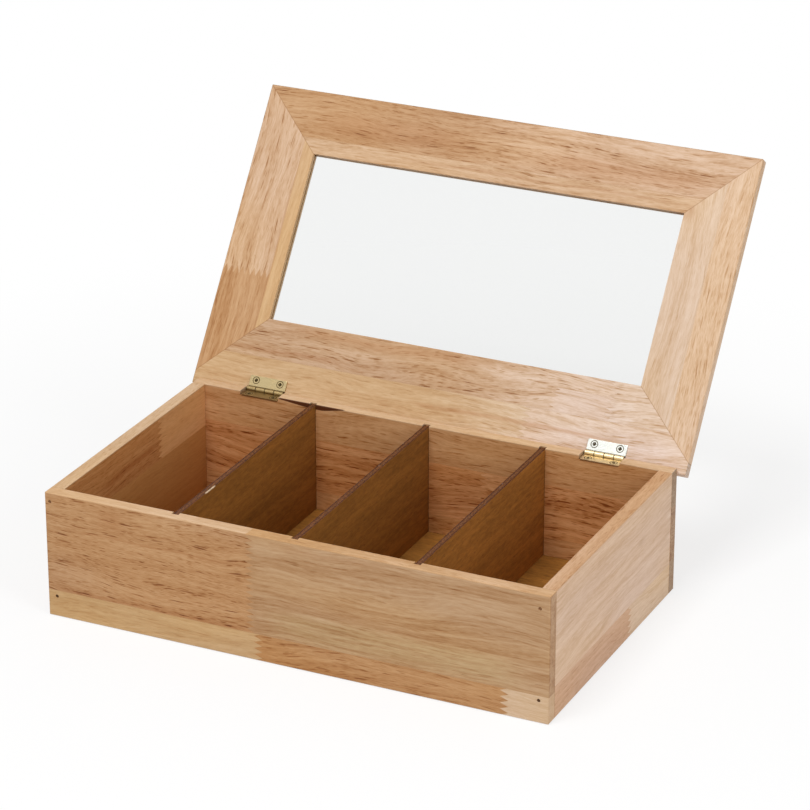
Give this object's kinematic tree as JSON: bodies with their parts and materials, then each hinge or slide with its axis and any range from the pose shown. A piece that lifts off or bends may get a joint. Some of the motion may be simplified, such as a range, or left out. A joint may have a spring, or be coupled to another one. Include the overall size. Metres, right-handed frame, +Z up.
{
  "type": "tea bag organizer box",
  "caption": "Low wooden box split into equal tea bag compartments, with a glazed, mitre-framed lid on butt hinges, shown standing open.",
  "frame": {"origin": "centre of the rectangular rim that the box stands on, at the height of that rim", "axes": "+X along the length to the right as seen from the front, +Y towards the hinges at the back, +Z up"},
  "size_m": [0.3406, 0.3187, 0.2433],
  "materials": {
    "box_wood": "fine-sanded rubberwood with a thin satin lacquer, finger-jointed staves",
    "lid_wood": "fine-sanded rubberwood with a thin satin lacquer, glued staves",
    "base_plywood": "thin brown plywood, lacquered",
    "divider_plywood": "thin brown plywood with dark sawn edges",
    "window_glass": "clear float glass with sawn edges",
    "hinge_brass": "bright rolled brass",
    "screw_brass": "turned brass, cross recess",
    "nail_steel": "dark drawn wire"
  },
  "bodies": {
    "box": {"front_panel": "box_wood", "back_panel": "box_wood", "left_panel": "box_wood", "right_panel": "box_wood", "base_panel": "base_plywood", "divider_left": "divider_plywood", "divider_middle": "divider_plywood", "divider_right": "divider_plywood", "left_hinge_box_leaf": "hinge_brass", "left_hinge_pin": "hinge_brass", "left_hinge_box_screws": "screw_brass", "right_hinge_box_leaf": "hinge_brass", "right_hinge_pin": "hinge_brass", "right_hinge_box_screws": "screw_brass", "front_nails": "nail_steel", "back_nails": "nail_steel"},
    "lid": {"lid_front_rail": "lid_wood", "lid_rear_rail": "lid_wood", "lid_left_stile": "lid_wood", "lid_right_stile": "lid_wood", "window_pane": "window_glass", "left_hinge_lid_leaf": "hinge_brass", "left_hinge_lid_screws": "screw_brass", "right_hinge_lid_leaf": "hinge_brass", "right_hinge_lid_screws": "screw_brass"}
  },
  "joints": [
    {"name": "lid_hinge", "type": "hinge", "parent": "box", "child": "lid", "pos_m": [0, 0.0977, 0.0808], "axis": [1, 0, 0], "range_deg": [0, 125.5]}
  ]
}
